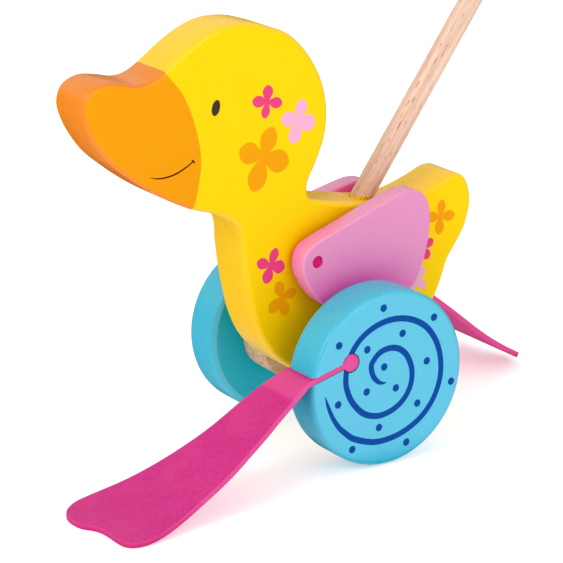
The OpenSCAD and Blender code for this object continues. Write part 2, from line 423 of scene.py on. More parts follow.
class Nodes:
    """Short calls for a node tree; an input is given a plain value or an output to link."""

    def __init__(self, tree):
        self.tree = tree
        tree.nodes.clear()

    def node(self, kind, inputs=(), **settings):
        node = self.tree.nodes.new(kind)
        for key, value in settings.items():
            setattr(node, key, value)
        for key, value in dict(inputs).items():
            if hasattr(value, "is_output"):
                self.tree.links.new(value, node.inputs[key])
            else:
                node.inputs[key].default_value = value
        return node

    @cached_property
    def coordinates(self):
        return self.node("ShaderNodeTexCoord")

    @property
    def position(self):
        return self.coordinates.outputs["Object"]

    def attribute(self, name, output):
        return self.node("ShaderNodeAttribute", attribute_name=name).outputs[output]

    def separate(self, vector):
        return self.node("ShaderNodeSeparateXYZ", {0: vector}).outputs

    def mapping(self, vector, scale=(1, 1, 1), turn=(0, 0, 0), shift=(0, 0, 0)):
        return self.node("ShaderNodeMapping", {"Vector": vector, "Scale": scale,
                                               "Rotation": turn, "Location": shift}).outputs[0]

    def noise(self, vector, scale, detail=2.0, rough=0.5, distortion=0.0):
        return self.node("ShaderNodeTexNoise", {
            "Vector": vector, "Scale": scale, "Detail": detail, "Roughness": rough,
            "Distortion": distortion}).outputs["Fac"]

    def ramp(self, value, at, to=(0.0, 1.0)):
        """Smooth step between the two values of to, as value crosses the range at."""
        return self.node("ShaderNodeMapRange", {0: value, 1: at[0], 2: at[1], 3: to[0], 4: to[1]},
                         clamp=True, interpolation_type="SMOOTHSTEP").outputs[0]

    def math(self, operation, a, b=0.0):
        return self.node("ShaderNodeMath", {0: a, 1: b}, operation=operation).outputs[0]

    def vector_math(self, operation, *vectors):
        inputs = dict(enumerate(vectors))
        return self.node("ShaderNodeVectorMath", inputs, operation=operation).outputs["Value"]

    def mix(self, factor, a, b, mode="MIX"):
        return self.node("ShaderNodeMix", {0: factor, 6: a, 7: b},
                         data_type="RGBA", blend_type=mode).outputs[2]

    def tint(self, colour, by):
        return self.mix(1.0, colour, (*by, 1), "MULTIPLY")

    def bump(self, height, strength, distance, under=None):
        inputs = {"Strength": strength, "Distance": distance, "Height": height}
        if under is not None:
            inputs["Normal"] = under
        return self.node("ShaderNodeBump", inputs).outputs[0]

    def facing_x(self):
        """1 on faces that look along the object's X, 0 on its edges."""
        return self.math("ABSOLUTE", self.separate(self.coordinates.outputs["Normal"])[0])

    def openness(self, reach):
        """1 in the open, towards 0 where another surface is within reach (metres); the materials
        use it to paint shade into their colours.
        """
        node = self.node("ShaderNodeAmbientOcclusion", {"Distance": reach}, samples=8)
        return self.ramp(node.outputs["AO"], at=(0.35, 0.95))


class Material(Nodes):
    INPUTS = {
        "color": "Base Color", "rough": "Roughness", "spec": "Specular IOR Level",
        "coat": "Coat Weight", "coat_rough": "Coat Roughness", "normal": "Normal",
        "sheen": "Sheen Weight", "sheen_rough": "Sheen Roughness",
        "sss": "Subsurface Weight", "sss_scale": "Subsurface Scale",
        "glow": "Emission Color", "glow_strength": "Emission Strength"}

    def __init__(self, name):
        self.material = bpy.data.materials.new(name)
        self.material.use_nodes = True
        super().__init__(self.material.node_tree)

    def surface(self, **inputs):
        """Closes the tree with a Principled shader and returns the material."""
        shader = self.node("ShaderNodeBsdfPrincipled",
                           {self.INPUTS[key]: value for key, value in inputs.items()})
        self.node("ShaderNodeOutputMaterial", {0: shader.outputs[0]})
        return self.material


# ---------------------------------------------------------------- materials

def paint(name, face, edge=None, shade_colour=None, reach=0.03, grain="Y", rough=0.3, coat=0.0,
          spec=0.45, flat=0.07):
    """Lacquer on wood, with faint clouding, grain and dust nibs.

    Edges may differ in colour from the flat faces and shine more (spec against flat). The
    optional shade colour is painted shade, given to places closer than reach to another surface.
    """
    m = Material(name)
    v = m.position
    c = linear(face)
    if edge is not None:
        c = m.mix(m.ramp(m.facing_x(), at=(0.75, 0.99)), linear(edge), linear(face))
    cloud = m.noise(v, scale=38, detail=3, rough=0.55)
    c = m.mix(m.ramp(cloud, at=(0.3, 0.75), to=(0, 0.12)), c, m.tint(c, by=(0.95, 0.95, 0.95)))
    fibre = m.noise(m.mapping(v, stretch(grain, 8, across=60)), scale=26, detail=3)
    c = m.mix(m.ramp(fibre, at=(0.45, 0.85), to=(0, 0.045)), c, m.tint(c, by=(0.86, 0.84, 0.82)))
    nib = m.ramp(m.noise(v, scale=1500, detail=1, rough=0.4), at=(0.72, 0.80))
    c = m.mix(m.math("MULTIPLY", nib, 0.04), c, (1, 1, 1, 1))
    # painted shade: blends towards the shade colour where another surface is within reach
    if shade_colour is not None:
        c = m.mix(m.openness(reach), linear(shade_colour), c)
    roughness = m.ramp(m.noise(v, scale=90, detail=3, rough=0.6), at=(0.3, 0.7),
                       to=(rough - 0.05, rough + 0.07))
    waves = m.noise(v, scale=120, detail=2, rough=0.4)
    ripple = m.noise(v, scale=700, detail=1, rough=0.4)
    normal = m.bump(waves, strength=0.04, distance=0.0003)
    normal = m.bump(fibre, strength=0.02, distance=0.0002, under=normal)
    normal = m.bump(ripple, strength=0.02, distance=0.0001, under=normal)
    return m.surface(color=c, rough=roughness, coat=coat, coat_rough=0.16, normal=normal,
                     spec=m.ramp(m.facing_x(), at=(0.86, 0.99), to=(spec, flat)))


def beech(name, light, dark, axis, flecks=0.75, collar=None):
    """Bare beech with its grain along axis. collar is the direction in which the height of a
    ragged yellow collar of paint is measured."""
    m = Material(name)
    v = m.position
    long = stretch(axis, 0.035)
    # each layer's shift keeps it from lining up with the others
    rings = m.noise(m.mapping(v, long), scale=420, detail=5, rough=0.62, distortion=0.25)
    broad = m.noise(m.mapping(v, long, shift=(0.3, 0.1, 0.7)), scale=90, detail=3)
    c = m.mix(m.ramp(rings, at=(0.32, 0.70)), linear(light), linear(dark))
    c = m.mix(m.ramp(broad, at=(0.35, 0.7), to=(0, 0.4)), c, m.tint(c, by=(0.93, 0.84, 0.76)))
    fleck = m.noise(m.mapping(v, stretch(axis, 0.16), shift=(0.9, 0.4, 0.2)),
                    scale=1250, detail=1, rough=0.4)
    fleck = m.ramp(fleck, at=(0.655, 0.73))
    c = m.mix(m.math("MULTIPLY", fleck, flecks), c, linear((150, 98, 62)))
    pore = m.noise(m.mapping(v, long, shift=(2.1, 0.0, 1.3)), scale=2600, detail=1, rough=0.4)
    pore = m.ramp(pore, at=(0.62, 0.7))
    c = m.mix(m.math("MULTIPLY", pore, 0.35), c, linear((176, 126, 90)))
    if collar is not None:
        height = m.vector_math("DOT_PRODUCT", v, collar)
        ragged = m.math("MULTIPLY", m.noise(v, scale=500, detail=2, rough=0.6), 0.0022)
        band = m.ramp(m.math("ADD", height, ragged), at=(0.0320, 0.0316))
        blob = m.ramp(m.noise(v, scale=1100, detail=2, rough=0.6), at=(0.50, 0.62))
        c = m.mix(band, c, m.mix(blob, linear((246, 204, 20)), linear((150, 104, 30))))
    height = m.math("SUBTRACT", rings, m.math("MULTIPLY", pore, 0.6))
    return m.surface(color=c, rough=m.ramp(rings, at=(0.3, 0.7), to=(0.49, 0.65)), spec=0.2,
                     coat=0.0, coat_rough=0.25,
                     normal=m.bump(height, strength=0.30, distance=0.0002))


def rubber(name):
    """Speckled foam rubber, patterned in the flat sheet's own millimetres."""
    top, pale = linear((216, 42, 138)), linear((238, 96, 164))
    # dark is a speckle tone; the second colour on the line below is painted shade
    dark, shade_colour = linear((192, 26, 120)), linear((196, 20, 110))
    m = Material(name)
    v = m.attribute("rest_mm", "Vector")
    fine = m.noise(v, scale=1.15, detail=2, rough=0.7)
    c = m.mix(m.ramp(fine, at=(0.34, 0.72)), dark, top)
    speck = m.ramp(m.noise(v, scale=2.3, detail=1, rough=0.4), at=(0.66, 0.76))
    c = m.mix(m.math("MULTIPLY", speck, 0.35), c, pale)
    mottle = m.noise(v, scale=0.05, detail=3)
    c = m.mix(m.ramp(mottle, at=(0.35, 0.7), to=(0, 0.10)), c, pale)
    # paler over the first 10 mm or so past the hinge, where the strip leaves the wheel
    length = m.separate(v)[0]
    hinge_band = m.math("MULTIPLY", m.ramp(length, at=(13.0, 9.5)), m.ramp(length, at=(-2.0, 1.0)))
    c = m.mix(m.math("MULTIPLY", hinge_band, 0.38), c, pale)
    c = m.mix(m.math("MULTIPLY", m.attribute("cut_edge", "Fac"), 0.5), c, pale)
    # painted shade: deeper magenta where another surface is within 20 mm
    c = m.mix(m.openness(reach=0.02), shade_colour, c)
    normal = m.bump(fine, strength=0.35, distance=0.00025)
    normal = m.bump(mottle, strength=0.25, distance=0.0006, under=normal)
    return m.surface(color=c, rough=m.ramp(fine, at=(0.3, 0.7), to=(0.5, 0.66)), spec=0.16,
                     sheen=0.05, sheen_rough=0.5, normal=normal, sss=0.03, sss_scale=0.002)


def plastic(name):
    """Moulded pink plastic with slanting flow marks."""
    m = Material(name)
    v = m.position
    flow = m.node("ShaderNodeTexWave", {
        "Vector": m.mapping(v, turn=(math.radians(38), 0, 0)), "Scale": 420,
        "Distortion": 3.0, "Detail": 2.0}, bands_direction="Y").outputs["Fac"]
    c = m.mix(m.ramp(flow, at=(0.25, 0.8)), linear((178, 0, 76)), linear((255, 12, 134)))
    normal = m.bump(flow, strength=0.4, distance=0.0002)
    normal = m.bump(m.noise(v, scale=1800), strength=0.1, distance=0.0001, under=normal)
    return m.surface(color=c, rough=0.34, spec=0.14, coat=0.05, coat_rough=0.15, normal=normal)


def socket_paint(name):
    """Thin yellow brushed over raw wood, inside the stick's socket."""
    m = Material(name)
    patches = m.noise(m.position, scale=900, detail=3, rough=0.7)
    c = m.mix(m.ramp(patches, at=(0.38, 0.62)), linear((176, 124, 40)), linear((240, 190, 30)))
    return m.surface(color=c, rough=0.5, spec=0.3,
                     normal=m.bump(patches, strength=0.6, distance=0.0004))


# the body's materials; prints name them by their place in this list
YELLOW, BEAK, MAGENTA, ROSE, MARIGOLD, EYE_BROWN, SEPIA = range(7)
BODY_PAINTS = [
    # each lacquer's shade colour is painted shade near other parts
    paint("yellow_lacquer", (252, 208, 0), edge=(253, 203, 2), grain="Z", shade_colour=(240, 190, 0)),
    paint("orange_lacquer", (236, 153, 0), edge=(235, 132, 2), grain="Z", shade_colour=(240, 120, 0)),
    paint("magenta_print", (230, 64, 122), rough=0.4),
    paint("rose_print", (236, 172, 204), rough=0.4),
    paint("marigold_print", (238, 157, 0), rough=0.4),
    paint("brown_print", (66, 50, 46), rough=0.4),
    paint("sepia_print", (66, 18, 0), rough=0.4),
]
# the wheels' materials, in the same way
SKY, NAVY, SKY_INNER_SHADED = range(3)
WHEEL_PAINTS = [
    # the shade colours are painted shade near other parts; the inner faces' lacquer is a darker,
    # more saturated copy of the sky lacquer that paints the shade falling on them
    paint("sky_lacquer", (97, 192, 220), edge=(62, 183, 212), shade_colour=(0, 160, 186), reach=0.016),
    paint("navy_print", (2, 70, 156), rough=0.4),
    paint("sky_lacquer_inner_shaded", (84, 190, 220), edge=(72, 188, 216), shade_colour=(0, 176, 196),
          reach=0.05),
]
# painted shade: a deeper pink near the wheels and body
WING_PAINT = paint("mauve_lacquer", (226, 144, 188), edge=(230, 148, 186), shade_colour=(246, 104, 192),
                   reach=0.024)
# painted shade: deeper pink where other parts come close
KNOB_PAINT = paint("pink_lacquer", (226, 52, 140), grain="Z", rough=0.26, coat=0.15, spec=0.4,
                   flat=0.4, shade_colour=(210, 20, 120))
# up, tipped a little to +Y, in the leaning stick's own axes
COLLAR_UP = (0, -math.sin(STICK_LEAN) + 0.07 * math.cos(STICK_LEAN),
             math.cos(STICK_LEAN) + 0.07 * math.sin(STICK_LEAN))
STICK_BEECH = beech("beech_dowel", (240, 210, 192), (216, 176, 152), axis="Z", collar=COLLAR_UP)
CAM_BEECH = beech("cam_beech", (222, 190, 166), (186, 146, 112), axis="Y", flecks=0.5)
AXLE_BEECH = beech("axle_beech", (218, 180, 146), (190, 144, 108), axis="X")
FOOT_RUBBER = rubber("foot_rubber")
PIN_PLASTIC = plastic("pin_plastic")
SOCKET_PAINT = socket_paint("socket_paint")


# ---------------------------------------------------------------- printed shapes

def petal(centre, tip, width, steps=26):
    """Teardrop from just behind the flower's centre to tip."""
    centre, tip = np.array(centre, float), np.array(tip, float)
    along = tip - centre
    length = np.linalg.norm(along)
    along /= length
    across = np.array([-along[1], along[0]])
    centre = centre - along * length * 0.04
    length *= 1.04

    def half(t):
        return width / 2 * math.sin(math.pi * t ** 1.42) ** 0.62 if 0 < t < 1 else 0

    stations = [(1 - math.cos(math.pi * k / steps)) / 2 for k in range(steps + 1)]
    left = [centre + along * length * t + across * half(t) for t in stations]
    right = [centre + along * length * t - across * half(t) for t in reversed(stations[1:-1])]
    return np.array(left + right)


def flower(material, centre, tips, widths):
    petals = [(petal(centre, tip, width), material) for tip, width in zip(tips, widths)]
    return petals + [(circle(centre, min(widths) * 0.2, 20), material)]


def stroke(points, widths, material, step):
    """Printed line through points; its width follows widths."""
    stations = np.hstack([np.asarray(points, float), np.asarray(widths, float)[:, None]])
    stations = spline(stations, step, closed=False)
    centre, half = stations[:, :2], np.maximum(stations[:, 2:], 0.02) / 2
    along = np.gradient(centre, axis=0)
    along /= np.linalg.norm(along, axis=1, keepdims=True)
    across = np.stack([-along[:, 1], along[:, 0]], 1)
    return np.vstack([centre + across * half, (centre - across * half)[::-1]]), material


# ---------------------------------------------------------------- body

# material, centre, petal tips, petal widths
FLOWERS = [
    (MAGENTA, (-37.8, 161.2), [(-37.5, 168.6), (-30.3, 159.6), (-39.5, 154.1), (-45.6, 162.4)],
     [5.3, 5.0, 4.4, 5.2]),
    (ROSE, (-22.0, 150.8), [(-19.7, 160.0), (-13.4, 148.2), (-25.0, 141.0), (-30.7, 153.2)],
     [6.0, 7.6, 6.6, 6.6]),
    (MARIGOLD, (-40.1, 137.0), [(-35.3, 149.9), (-27.0, 132.6), (-45.2, 122.6), (-52.2, 142.0)],
     [8.6, 10.4, 9.8, 9.6]),
    (MAGENTA, (-36.5, 88.0), [(-33.3, 95.5), (-29.0, 85.8), (-38.9, 80.0), (-43.5, 90.6)],
     [4.7, 6.2, 5.6, 5.2]),
    (MARIGOLD, (-30.7, 72.3), [(-32.6, 80.0), (-22.8, 74.2), (-28.2, 63.6), (-37.2, 66.6)],
     [5.4, 5.0, 5.4, 5.6]),
    (MARIGOLD, (55.3, 95.5), [(56.2, 103.5), (63.5, 95.2), (54.6, 87.2), (47.3, 96.6)],
     [4.7, 5.2, 5.3, 5.2]),
    (MAGENTA, (45.9, 82.4), [(42.7, 88.1), (51.7, 85.4), (49.1, 76.7), (40.2, 79.2)],
     [4.4, 4.4, 4.8, 4.6]),
    (ROSE, (42.2, 68.0), [(37.0, 72.5), (46.7, 73.2), (47.4, 63.5), (37.7, 62.8)],
     [4.6, 4.6, 4.8, 4.6]),
]
EYE_CENTRE, EYE_RADII, EYE_TILT = (-63.7, 162.0), (2.05, 3.5), math.radians(-14)
SMILE = [(-96.4, 136.6), (-93.0, 135.6), (-88.6, 135.4), (-83.6, 136.3), (-79.0, 138.2),
         (-75.2, 140.4)]
SMILE_WIDTHS = [0.1, 0.55, 0.72, 0.76, 0.7, 0.6]
# short stroke across the smile's rear end
TICK = [(-75.9, 141.3), (-74.9, 140.3), (-74.3, 139.6)]
TICK_WIDTHS = [0.4, 0.85, 0.3]
# where the beak's paint meets the outline, and its border between them, from the top down
BEAK_TOP, BEAK_LOW = (-88.3, 180.6), (-76.0, 118.2)
BEAK_BORDER = [(-80.6, 171.1), (-77.4, 165.1), (-74.7, 158.0), (-72.4, 149.4), (-71.4, 143.3),
               (-71.4, 136.2), (-72.8, 128.3)]
# corners that lead round the beak, outside the outline, from low to top
BEAK_AROUND = [(-90, 90), (-170, 110), (-170, 190), (-100, 200)]
# matrix that sets the stick's foot inside the body
STICK_MATRIX = (Matrix.Translation((0, 0.1 * MM, 79.3 * MM))
                @ Matrix.Rotation(-STICK_LEAN, 4, "X"))
# the socket's cutter: (distance up the stick, radius)
SOCKET = [(-0.5, 0), (-0.5, DOWEL_BORE), (32.62, DOWEL_BORE), (36.6, 9.0), (36.6, DOWEL_BORE),
          (60, DOWEL_BORE), (60, 0)]
PIN_HOLE_RADIUS, PIN_HOLE_END = 2.02, 2.5


def body_prints():
    prints = []
    for row in FLOWERS:
        prints += flower(*row)
    angle = np.arange(40) * 2 * math.pi / 40
    y, z = EYE_RADII[0] * np.cos(angle), EYE_RADII[1] * np.sin(angle)
    eye = np.stack([EYE_CENTRE[0] + y * math.cos(EYE_TILT) - z * math.sin(EYE_TILT),
                    EYE_CENTRE[1] + y * math.sin(EYE_TILT) + z * math.cos(EYE_TILT)], 1)
    return prints + [(eye, EYE_BROWN), stroke(SMILE, SMILE_WIDTHS, SEPIA, step=0.6),
                     stroke(TICK, TICK_WIDTHS, SEPIA, step=0.4)]


def build_body():
    outline = spline(cad_outline("body", BODY_HALF), 1.1)
    outline, top = insert_point(outline, BEAK_TOP)
    outline, low = insert_point(outline, BEAK_LOW)
    if low <= top:
        # the second point may have moved the first one's index
        outline, top = insert_point(outline, BEAK_TOP)
    # the beak is the stretch between the two points that reaches furthest forward
    count = len(outline)
    beak = {(top + k) % count for k in range((low - top) % count)}
    if min(outline[k][0] for k in beak) > -110:
        beak = set(range(count)) - beak
    inward = inward_normals(outline)
    flat = BODY_EDGE + EDGE_MARGIN
    border = spline([outline[top] + inward[top] * flat, *BEAK_BORDER,
                     outline[low] + inward[low] * flat], 1.0, closed=False)[1:-1]
    around = [outline[low] - inward[low] * 4, *BEAK_AROUND, outline[top] - inward[top] * 4]
    x_faces = (-BODY_HALF, BODY_HALF)
    holes = [(AXLE, through(x_faces, 5.08))]
    for side in (1, -1):
        holes.append((WING_PIVOT, [(side * BODY_HALF, PIN_HOLE_RADIUS),
                                   (side * PIN_HOLE_END, PIN_HOLE_RADIUS),
                                   (side * PIN_HOLE_END, 0)]))
    prints = body_prints()
    body = board("duck_body", outline, x_faces, BODY_EDGE, BODY_PAINTS, holes=holes,
                 prints=(prints, prints), line=(top, border, low, around, BEAK),
                 edge_material=lambda i: BEAK if i in beak else YELLOW)
    cut(body, lathe("socket_tool", SOCKET, [SOCKET_PAINT], STICK_MATRIX, segments=72))
    register(body, "body", "duck")


# ---------------------------------------------------------------- stick and knob

STICK_LENGTH = 500
KNOB_RADIUS, KNOB_CENTRE = 19.0, 497.0  # centre measured up the stick
KNOB_BORE_END = 500.5


def build_stick():
    stick = lathe("push_stick", dowel_profile(0, STICK_LENGTH), [STICK_BEECH], STICK_MATRIX)
    register(stick, "stick", "duck")


def build_knob():
    # from the bore's closed end down its wall, over a small chamfer, and round the ball
    mouth = KNOB_CENTRE - math.sqrt(KNOB_RADIUS ** 2 - 5.6 ** 2) + 0.7
    profile = [(KNOB_BORE_END, 0), (KNOB_BORE_END, DOWEL_BORE), (mouth, DOWEL_BORE)]
    start, steps = math.asin(5.7 / KNOB_RADIUS), 32
    for k in range(steps + 1):
        angle = start + (math.pi - start) * k / steps
        radius = KNOB_RADIUS * math.sin(angle) if k < steps else 0.0
        profile.append((KNOB_CENTRE - KNOB_RADIUS * math.cos(angle), radius))
    knob = lathe("ball_knob", profile, [KNOB_PAINT], STICK_MATRIX, segments=72)
    register(knob, "knob", "duck")


# ---------------------------------------------------------------- wheels and cams

# printed spiral, from the axle: (y, z, width) of its inner hook
HOOK = [(-1.1, -1.5, 0.3), (-3.0, -1.4, 1.3), (-5.3, -0.5, 2.1), (-7.9, 2.3, 2.6),
        (-9.2, 6.0, 2.8)]
# the rest of the spiral: (angle in degrees, distance) from its own centre
SPIRAL_CENTRE = (2.5, -0.5)
SPIRAL = [
    (140, 14.8), (120, 15.3), (100, 14.8), (80, 13.8), (60, 12.4), (40, 11.1), (20, 10.4),
    (0, 10.2), (-20, 10.4), (-40, 11.0), (-60, 12.0), (-80, 13.4), (-100, 15.4), (-120, 17.9),
    (-140, 20.3), (-160, 22.3), (-175, 24.0), (-190, 25.6), (-210, 27.1), (-230, 27.8),
    (-250, 27.7), (-270, 27.5), (-290, 27.3), (-310, 27.1), (-330, 26.5), (-350, 26.0),
    (-370, 25.9), (-390, 25.8), (-410, 25.9), (-430, 26.2), (-450, 27.3), (-470, 29.2),
    (-490, 31.3), (-500, 32.2), (-510, 33.2), (-520, 34.0), (-530, 34.9), (-538, 35.9)]
SPIRAL_WIDTH = 2.85
SPIRAL_TAPER = {-500: 2.7, -510: 2.4, -520: 2.1, -530: 1.7, -538: 0.4}  # width by angle
DOT_RADIUS = 1.75
DOTS = [(-3.1, 33.0), (24.1, 23.9), (7.2, 19.6), (-26.3, 20.2), (-11.5, 15.6), (20.6, 4.3),
        (-2.4, 5.9), (34.2, -7.9), (4.0, -5.0), (-11.6, -3.8), (-26.6, -6.7), (15.8, -14.5),
        (-4.8, -21.7), (10.1, -31.7), (-19.0, -29.0)]
RIGHT_PRINT_TURN = math.radians(25.4)

# keyhole slot: off the wheel's centre line, a round bulb and a narrow way out to the rim
SLOT_OFFSET, SLOT_HALF = 15.7, 1.35
BULB_REACH, BULB_RADIUS = 16.4, 4.3
# by side: the slot's direction in Y, its slope, and the foot's slope by distance along it (degrees)
SLOT_WAY = {1: -1, -1: 1}
SLOT_SLOPE = {1: -14.7, -1: 10.7}
FOOT_SLOPES = {
    1: [(0, -24), (6, -31), (32, -32.4), (55, -28.6), (78, -21.4), (95, -12), (104, -3),
        (113, 0), (120, 0)],
    -1: [(0, 0), (12, -17.3), (30, -31.6), (50, -39.4), (75, -42.4), (100, -30.2), (120, -29.2)],
}
WHEEL_BORE_DEPTH = 15.3
CAM_INNER, CAM_RADIUS, CAM_OFFSET = 13.1, 17, 6.4


def wheel_prints(side):
    """The spiral and dots; the right wheel's are mirrored and turned."""
    points = [row[:2] for row in HOOK]
    for angle, distance in SPIRAL:
        points.append((SPIRAL_CENTRE[0] + distance * math.cos(math.radians(angle)),
                       SPIRAL_CENTRE[1] + distance * math.sin(math.radians(angle))))
    widths = [row[2] for row in HOOK]
    widths += [SPIRAL_TAPER.get(angle, SPIRAL_WIDTH) for angle, _ in SPIRAL]
    prints = [stroke(points, widths, NAVY, step=1.0)]
    prints += [(circle(dot, DOT_RADIUS, 28), NAVY) for dot in DOTS]
    placed = []
    for polygon, material in prints:
        if side < 0:
            y, z = -polygon[:, 0], polygon[:, 1]
            cos, sin = math.cos(RIGHT_PRINT_TURN), math.sin(RIGHT_PRINT_TURN)
            polygon = np.stack([y * cos - z * sin, y * sin + z * cos], 1)[::-1]
        placed.append((polygon + np.array(AXLE), material))
    return placed


def slot_point(along, across, side):
    """(y, z) from the axle of a point along and across a wheel's slot direction."""
    slope = math.radians(SLOT_SLOPE[side])
    return np.array([SLOT_WAY[side] * (along * math.cos(slope) - across * math.sin(slope)),
                     along * math.sin(slope) + across * math.cos(slope)])


def build_wheel(side, name):
    x0, x1 = x_faces = low_high(side, side * WHEEL_INNER, side * WHEEL_OUTER)
    bore_end = side * (WHEEL_INNER + WHEEL_BORE_DEPTH)
    bore = [(side * WHEEL_INNER, DOWEL_BORE), (bore_end, DOWEL_BORE), (bore_end, 0)]
    wheel = board(name + "_disc", circle(AXLE, WHEEL_RADIUS, 168), x_faces, 2.5, WHEEL_PAINTS,
                  holes=[(AXLE, bore)], bases=low_high(side, SKY_INNER_SHADED, SKY),
                  prints=low_high(side, (), wheel_prints(side)))
    radius = BULB_RADIUS + 0.1
    start, steps = math.asin(SLOT_HALF / radius), 48
    key = []
    for k in range(steps + 1):
        angle = start + (2 * math.pi - 2 * start) * k / steps
        key.append(slot_point(BULB_REACH + radius * math.cos(angle),
                              SLOT_OFFSET + radius * math.sin(angle), side))
    for across in (SLOT_OFFSET - SLOT_HALF, SLOT_OFFSET + SLOT_HALF):
        key.append(slot_point(46, across, side))
    key = np.array(key) + np.array(AXLE)
    cut(wheel, prism("key_tool", key, x0 - 3, x1 + 3, [WHEEL_PAINTS[SKY]]))
    register(wheel, name, "axle_set")


def build_cam(side, name):
    x_faces = low_high(side, side * CAM_INNER, side * WHEEL_INNER)
    outline = circle((CAM_OFFSET * side, AXLE_Z), CAM_RADIUS, 120)
    cam = board(name + "_disc", outline, x_faces, 1.0, [CAM_BEECH], steps=4,
                holes=[(AXLE, through(x_faces, DOWEL_BORE))])
    register(cam, name, "axle_set")


# ---------------------------------------------------------------- wings, pins, spacers, axle

# left wing's stepped pin hole: (x, radius)
WING_HOLE = [(WING_OUTER, 2.78), (21.5, 2.78), (21.5, 2.08), (WING_INNER, 2.08)]
# (distance out from the duck's middle, radius) and the rounding of each corner
PIN_PROFILE = [(3.0, 0), (3.0, 2.0), (21.75, 2.0), (21.75, 2.7), (24.2, 2.7), (24.2, 0)]
PIN_ROUNDING = [0, 0.5, 0, 0.2, 0.7, 0]
SPACER_OUTER, SPACER_RADIUS, SPACER_BORE = 14.8, 5.5, 2.04
AXLE_HALF = 46


def build_wing(side, name):
    wing = board(name + "_board", spline(cad_outline(name, side * WING_OUTER), 0.8),
                 low_high(side, side * WING_INNER, side * WING_OUTER), 1.2, [WING_PAINT],
                 holes=[(WING_PIVOT, [(side * x, radius) for x, radius in WING_HOLE])])
    register(wing, name, name)


def build_pin(side, name):
    matrix = (Matrix.Translation((0, WING_PIVOT[0] * MM, WING_PIVOT[1] * MM))
              @ Matrix.Rotation(math.radians(90 * side), 4, "Y"))
    pin = lathe(name + "_turned", rounded(PIN_PROFILE, PIN_ROUNDING), [PIN_PLASTIC], matrix,
                segments=48)
    register(pin, name, "duck")


def build_spacer(side, name):
    x_faces = low_high(side, side * BODY_HALF, side * SPACER_OUTER)
    spacer = board(name + "_ring", circle(WING_PIVOT, SPACER_RADIUS, 72), x_faces, 0.4,
                   [PIN_PLASTIC], steps=3, margin=0.2,
                   holes=[(WING_PIVOT, through(x_faces, SPACER_BORE))])
    register(spacer, name, "duck")


def build_axle():
    matrix = (Matrix.Translation((0, 0, AXLE_Z * MM))
              @ Matrix.Rotation(math.radians(90), 4, "Y"))
    axle = lathe("axle_dowel", dowel_profile(-AXLE_HALF, AXLE_HALF), [AXLE_BEECH], matrix)
    register(axle, "axle", "axle_set")


# ---------------------------------------------------------------- rubber feet

# The flat sheet is measured along from the hinge (negative inside the wheel) and across it.
HINGE_REACH = 38.415  # from the axle's foot on the slot direction
STRIP_HALF = 1.3  # half the sheet's thickness
STRIP_LOW, STRIP_HIGH = -9.675, 9.725  # the root's two edges, across
FOOT_BULB = -(HINGE_REACH - BULB_REACH)
FOOT_BULB_RADIUS = BULB_RADIUS - 0.28
FOOT_EDGE = 0.35
# (inset, drop in height, cut_edge) of the rings that round the sheet's edge, from its face
FOOT_EDGE_RINGS = [(FOOT_EDGE, 0.0, 0.0), (FOOT_EDGE * 0.35, FOOT_EDGE * 0.22, 0.5),
                   (0.0, FOOT_EDGE, 1.0)]
# blade outline beyond the hinge: (along, across)
FOOT_PLAN = [
    (0, -9.6), (5, -10.3), (11, -11.6), (22, -12.9), (33, -13.8), (44, -15), (56, -17.3),
    (69, -19.9), (84, -23.1), (93, -24.8), (100, -25.2), (106, -24.2), (111.4, -21.2),
    (115.8, -16.8), (118, -11.4), (118.2, -5.4), (117.2, -1), (115.4, 1.6), (113.7, 4.2),
    (112.6, 8), (112.3, 13), (112.4, 19), (111.9, 24), (110.2, 27), (107, 28.7), (102, 29.1),
    (94, 28.1), (82, 25.4), (71, 23.2), (61, 21.9), (51, 20.4), (41, 18.4), (32, 16.9),
    (23, 15), (13, 13), (8, 12), (3, 10.8), (0, 9.6)]


def foot_path(side):
    """Returns a function from a distance along the foot to its (y, z) place, with y counted
    in the slot's direction, and its normal."""
    step, before = 0.25, 30
    stations = np.arange(-before, 122, step)
    distances, slopes = zip(*FOOT_SLOPES[side])

    def bend(s):
        return np.where(s < 0, SLOT_SLOPE[side], np.interp(s, distances, slopes))

    # averaging over the last 3 mm softens the bends
    slope = np.radians(np.mean([bend(stations + w) for w in np.linspace(-3.0, 0.0, 13)], 0))
    line = np.cumsum(np.stack([np.cos(slope), np.sin(slope)], 1) * step, 0)
    hinge = slot_point(HINGE_REACH, SLOT_OFFSET, side) * np.array([SLOT_WAY[side], 1])
    line = line - line[int(round(before / step))] + hinge

    def at(s):
        place = np.array([np.interp(s, stations, line[:, k]) for k in (0, 1)])
        angle = np.interp(s, stations, slope)
        return place, np.array([-math.sin(angle), math.cos(angle)])

    return at


def foot_half(s):
    """Half thickness of the foot: the round bulb, then the flat strip."""
    square = FOOT_BULB_RADIUS * FOOT_BULB_RADIUS - (s - FOOT_BULB) ** 2
    bulb = math.sqrt(square) if square > 0 else 0.0
    return bulb if s < FOOT_BULB else max(bulb, STRIP_HALF)


def root_rows():
    """Stations along the root: round the bulb, then along the strip to the hinge."""
    rows = [FOOT_BULB + FOOT_BULB_RADIUS * math.cos(math.radians(a)) for a in range(175, 10, -8)]
    rows = [s for s in rows if foot_half(s) > STRIP_HALF]
    neck = math.sqrt(FOOT_BULB_RADIUS * FOOT_BULB_RADIUS - 1.27 ** 2)
    return rows + list(np.arange(FOOT_BULB + neck + 0.05, -0.5, 2.2))


